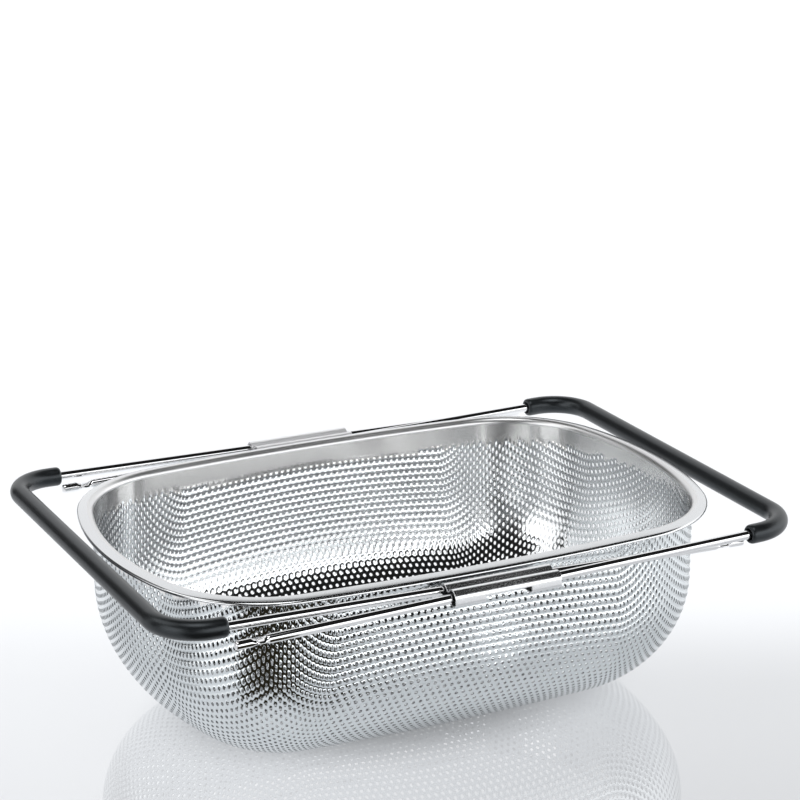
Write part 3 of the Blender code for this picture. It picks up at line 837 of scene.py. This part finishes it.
# Rougher sheared steel on the walls of the holes, with its dark colour a painted shade in the holes
edgeSteelShaded = {
    "dark": (0.32, 0.33, 0.34), "light": (0.40, 0.41, 0.42), "cloudScale": 200, "rough": (0.30, 0.40),
    "grain": (900, 900, 900), "bump": 0.15, "bumpDepth": 0.00005,
}
guideSteel = {
    "dark": (0.76, 0.77, 0.78), "light": (0.86, 0.86, 0.87), "cloudScale": 40, "rough": (0.21, 0.27),
    "grain": (6, 700, 700), "bump": 0.004, "bumpDepth": 0.00003,
}
# Painted light: the back guide is the same folded steel as the front one, made whiter and partly diffuse so
# that it looks lit
backGuideSteelLit = {
    "dark": (0.90, 0.90, 0.91), "light": (0.95, 0.95, 0.96), "cloudScale": 40, "rough": (0.30, 0.36),
    "grain": (6, 700, 700), "bump": 0.015, "bumpDepth": 0.00003,
    "metal": 0.55,
}
rodSteel = {
    "dark": (0.80, 0.80, 0.81), "light": (0.90, 0.90, 0.90), "cloudScale": 80, "rough": (0.03, 0.07),
    "grain": (60, 900, 900), "bump": 0.06, "bumpDepth": 0.00003,
}
gripRubber = {
    "dark": (0.003, 0.0035, 0.004), "light": (0.007, 0.008, 0.009), "cloudScale": 60, "rough": (0.27, 0.38),
    "grain": 2600, "bump": 0.25, "bumpDepth": 0.00006,
    "specular": 0.6,
    "sheen": (0.86, 0.94, 1.0),
}

# Edges in the next dictionary are the two places between which a shade changes
studio = {
    "floorSize": 8.0,
    "floorColour": (0.20, 0.205, 0.21),
    "floorGlow": (0.948, 0.967, 1),    # colour of the table's own light
    "floorAway": (0.45, 0.893),        # way over the table from the camera to the back
    "floorNear": 0.73,                 # the table's own light close in front on the left
    "floorRise": 0.09,                 # how much it gains towards the basket
    "riseEdges": (-0.15, 0.02),
    "floorRightShade": 0.175,           # painted shade: how much less of it there is on the right
    "rightEdges": (-0.16, 0.20),
    "floorFar": 0.98,                  # and its light far behind
    "farEdges": (0.00, 0.15),
    "shadowUnderBasket": 0.26,               # and painted shadow under the middle of the basket, in an oval
    "underSize": (0.115, 0.075),
    "underEdges": (0.65, 1.4),
    "floorMirror": (0.03, 0.34),       # share of mirror looking straight down and at a slant
    "mirrorEdges": (0.25, 0.69),
    "floorRough": 0.015,
    "skyColour": (0.985, 0.99, 1.0),
    "frontWhite": 2.0,
    "backWhite": 1.06,
    "frontToBack": (-0.5, 0.5),
    "ringTop": (0.600, 0.634),         # height between which white turns to black, on a unit sphere
    "ringTilt": 0.197,                 # and how much higher that lies at the back
    "ceiling": 0.012,
    "darkGaps": ((-119, 25, 12), (163, 17, 8), (119, 23, 8)),    # turn of the middle, and both edges from it
    "gapShade": 0.03,
    "topWhite": 3.0,                   # round light overhead, a little to the front
    "topTurn": -100,
    "topRise": 77,
    "topEdges": (18, 11),
    "softboxTurn": 165,
    "softboxRise": 50,
    "softboxAway": 1.3,
    "softboxAim": 0.08,
    "softbox": (1.0, 0.7),
    "softboxPower": 2.5,
}


def direction(turn, rise=0):
    # Unit vector with the given turn from +X and rise over the floor, both in degrees
    turn, rise = math.radians(turn), math.radians(rise)
    return math.cos(turn) * math.cos(rise), math.sin(turn) * math.cos(rise), math.sin(rise)


def makeFloor():
    # Pale table that gives its own light, white behind and a little grey in front, with painted shade on the
    # right and a painted shadow under the basket, and a faint mirror at a slant
    half = studio["floorSize"] / 2
    corners = np.array([(-half, -half, 0), (half, -half, 0), (half, half, 0), (-half, half, 0)])
    floor = linkMesh("floor", corners, [np.array([[0, 1, 2, 3]])])
    material, tree, shader, place = newMaterial("paleTable", {
        "Roughness": 0.6, "Specular IOR Level": 0.2, "Base Color": (*studio["floorColour"], 1),
        "Emission Color": (*studio["floorGlow"], 1)})
    awayX, awayY = studio["floorAway"]
    away, aside = [addNode(tree, "VectorMath", {0: place, 1: way}, "Value", operation="DOT_PRODUCT")
                   for way in ((awayX, awayY, 0), (awayY, -awayX, 0))]
    near = studio["floorNear"]
    rise = addRange(tree, away, studio["riseEdges"], (near, near + studio["floorRise"]))
    # Painted shade on the right of the basket
    drop = addRange(tree, aside, studio["rightEdges"], (0, studio["floorRightShade"]), smooth=True)
    shadedRight = addNode(tree, "Math", {0: rise, 1: drop}, operation="SUBTRACT")
    far = addRange(tree, away, studio["farEdges"], (0, 1), smooth=True)
    openTable = addNode(tree, "Mix", {"Factor": far, "A": shadedRight, "B": studio["floorFar"]}, "Result")
    # Painted shadow: the table's light falls in an oval under the basket
    sizeX, sizeY = studio["underSize"]
    oval = addNode(tree, "VectorMath", {0: place, 1: (1 / sizeX, 1 / sizeY, 1)}, operation="MULTIPLY")
    ovalLength = addNode(tree, "VectorMath", {0: oval}, "Value", operation="LENGTH")
    outside = addRange(tree, ovalLength, studio["underEdges"], (0, 1), smooth=True)
    glow = addNode(tree, "Mix", {"Factor": outside, "A": studio["shadowUnderBasket"], "B": openTable}, "Result")
    setSockets(tree, shader, {"Emission Strength": glow})
    mirror = addNode(tree, "BsdfGlossy", {"Roughness": studio["floorRough"]})
    slant = addNode(tree, "LayerWeight", {"Blend": 0.5}, "Facing")
    share = addRange(tree, slant, studio["mirrorEdges"], studio["floorMirror"])
    blend = addNode(tree, "MixShader", {0: share, 1: shader.outputs["BSDF"], 2: mirror})
    setSockets(tree, tree.nodes["Material Output"], {"Surface": blend})
    floor.data.materials.append(material)


darkCard = {
    "corner": ((-0.136, -0.089), (-0.098, -0.104)),    # ends of the line that its near edge is measured from
    "turns": (-140, -64),              # ways out from those two ends
    "near": 0.066,                     # distance of its near edge at the middle
    "nearEnds": 0.048,                 # and at both ends
    "far": 0.75,
    "lift": 0.0012,
    "colour": (0.030, 0.024, 0.013),
    "steps": 14,
}


def makeDarkCard():
    # Dark card lying in front of the left corner, which only mirrors see, and only from above:
    # a fan of rays whose near edge follows a parabola
    turns = np.radians(np.linspace(*darkCard["turns"], darkCard["steps"]))
    part = np.linspace(0, 1, darkCard["steps"])[:, None]
    start, end = np.array(darkCard["corner"])
    foot = start * (1 - part) + end * part
    way = np.stack([np.cos(turns), np.sin(turns)], axis=-1)
    near = darkCard["near"] + (darkCard["nearEnds"] - darkCard["near"]) * (2 * part - 1) ** 2
    height = np.full((len(way), 1), darkCard["lift"])
    rings = [np.concatenate([foot + way * reach, height], axis=1) for reach in (near, darkCard["far"])]
    card = linkMesh("darkCard", np.concatenate(rings), [gridFaces(2, darkCard["steps"])])
    if card.data.polygons[0].normal.z < 0:
        card.data.flip_normals()
    card.visible_camera = False
    card.visible_shadow = False
    card.visible_diffuse = False
    material = bpy.data.materials.new("blackCard")
    material.use_nodes = True
    tree = material.node_tree
    behind = addNode(tree, "NewGeometry", outlet="Backfacing")
    black = addNode(tree, "BsdfDiffuse", {"Color": (*darkCard["colour"], 1)})
    mixed = addNode(tree, "MixShader", {0: behind, 1: black, 2: addNode(tree, "BsdfTransparent")})
    setSockets(tree, tree.nodes["Material Output"], {"Surface": mixed})
    card.data.materials.append(material)


def makeWorld():
    # White low down all round with dark gaps in it, whiter in front than behind, and nearly
    # black overhead but for one round light, so that the steel has light and dark to show
    world = bpy.data.worlds.new("studioWorld")
    bpy.context.scene.world = world
    world.use_nodes = True
    tree = world.node_tree
    place = addNode(tree, "TexCoord", outlet="Generated")
    split = tree.nodes.new("ShaderNodeSeparateXYZ")
    setSockets(tree, split, {"Vector": place})
    toBack, up = split.outputs["Y"], split.outputs["Z"]
    tilted = addNode(tree, "Math", {0: toBack, 1: -studio["ringTilt"], 2: up}, operation="MULTIPLY_ADD")
    ring = addRange(tree, tilted, studio["ringTop"], (1, 0), smooth=True)
    facing = addRange(tree, toBack, studio["frontToBack"], (studio["frontWhite"], studio["backWhite"]))
    white = addNode(tree, "Math", {0: ring, 1: facing}, operation="MULTIPLY")
    level = addNode(tree, "VectorMath", {0: place, 1: (1, 1, 0)}, operation="MULTIPLY")
    heading = addNode(tree, "VectorMath", {0: level}, operation="NORMALIZE")

    def nearness(way, towards, edges, values):
        # From one value to the other as the way turns towards a direction, past two angles from it
        cosine = addNode(tree, "VectorMath", {0: way, 1: towards}, "Value", operation="DOT_PRODUCT")
        return addRange(tree, cosine, np.cos(np.radians(edges)).tolist(), values, smooth=True)

    for middle, *edges in studio["darkGaps"]:
        gap = nearness(heading, direction(middle), edges, (1, studio["gapShade"]))
        white = addNode(tree, "Math", {0: white, 1: gap}, operation="MULTIPLY")
    overhead = direction(studio["topTurn"], studio["topRise"])
    top = nearness(place, overhead, studio["topEdges"], (studio["ceiling"], studio["topWhite"]))
    both = addNode(tree, "Math", {0: white, 1: top}, operation="ADD")
    # Plain white where the camera sees past the floor
    toCamera = addNode(tree, "LightPath", outlet="Is Camera Ray")
    seen = addNode(tree, "Mix", {"Factor": toCamera, "A": both, "B": studio["backWhite"]}, "Result")
    setSockets(tree, tree.nodes["Background"], {"Color": (*studio["skyColour"], 1), "Strength": seen})


def makeSoftbox():
    # Oval light high on the left, turned towards the basket
    data = bpy.data.lights.new("leftSoftbox", "AREA")
    data.shape = "ELLIPSE"
    data.size, data.size_y = studio["softbox"]
    data.energy = studio["softboxPower"]
    light = bpy.data.objects.new("leftSoftbox", data)
    bpy.context.scene.collection.objects.link(light)
    away = np.array(direction(studio["softboxTurn"], studio["softboxRise"])) * studio["softboxAway"]
    light.location = away + (0, 0, studio["softboxAim"])
    tilt = math.atan2(math.hypot(away[0], away[1]), away[2])
    light.rotation_euler = (tilt, 0, math.atan2(away[0], -away[1]))


photoView = {    # place in metres, lens in millimetres, turns in degrees
    "sensor": 36,
    "lens": 114.891,
    "place": (-0.60263, -1.2045, 0.61152),
    "turns": (71.972, -0.139, -26.681),
}


def makeCamera():
    data = bpy.data.cameras.new("photoCamera")
    data.sensor_width = photoView["sensor"]
    data.lens = photoView["lens"]
    camera = bpy.data.objects.new("photoCamera", data)
    camera.location = photoView["place"]
    camera.rotation_euler = [math.radians(turn) for turn in photoView["turns"]]
    bpy.context.scene.collection.objects.link(camera)
    bpy.context.scene.camera = camera


def dress(piece, materials, body, node):
    for material in materials:
        piece.data.materials.append(material)
    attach(piece, body)
    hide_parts(node)


makeCamera()
makeWorld()
makeFloor()
makeDarkCard()
makeSoftbox()
bpy.context.scene.view_settings.view_transform = "Standard"
print("camera, floor and lights placed")

bandMaterial = steelFinish("satinBand", bandSteel)
sheetMaterials = [steelFinish("polishedSheet", sheetSteel), bandMaterial,
                  steelFinish("punchedEdgeShaded", edgeSteelShaded), steelFinish("polishedInsideLit", insideSteelLit)]
rimMaterials = [steelFinish("polishedRim", rimSteel), bandMaterial, steelFinish("dullBend", bendSteel)]
# The back guide takes the copy with painted light
guideMaterials = {"front": steelFinish("frontFoldedSteel", guideSteel),
                  "back": steelFinish("backFoldedSteelLit", backGuideSteelLit)}
rodMaterial = steelFinish("polishedRod", rodSteel)
gripMaterial = rubberFinish("gripRubber", gripRubber)

for piece in perforatedSheet():
    dress(piece, sheetMaterials, "basket", "basket")
dress(rimBand(), rimMaterials, "basket", "basket")
print("basket drawn")

for side, way in (("left", -1), ("right", 1)):
    dress(makeWire(way, side + "_rod"), [rodMaterial], side + "_handle", side + "_handle_wire")
    dress(makeGrip(way, side + "_cover"), [gripMaterial], side + "_handle", side + "_grip")
for side, way in (("front", -1), ("back", 1)):
    dress(makeSleeve(way, side + "_guide"), [guideMaterials[side]], "basket", side + "_sleeve")
print("rods, grips and guides made")
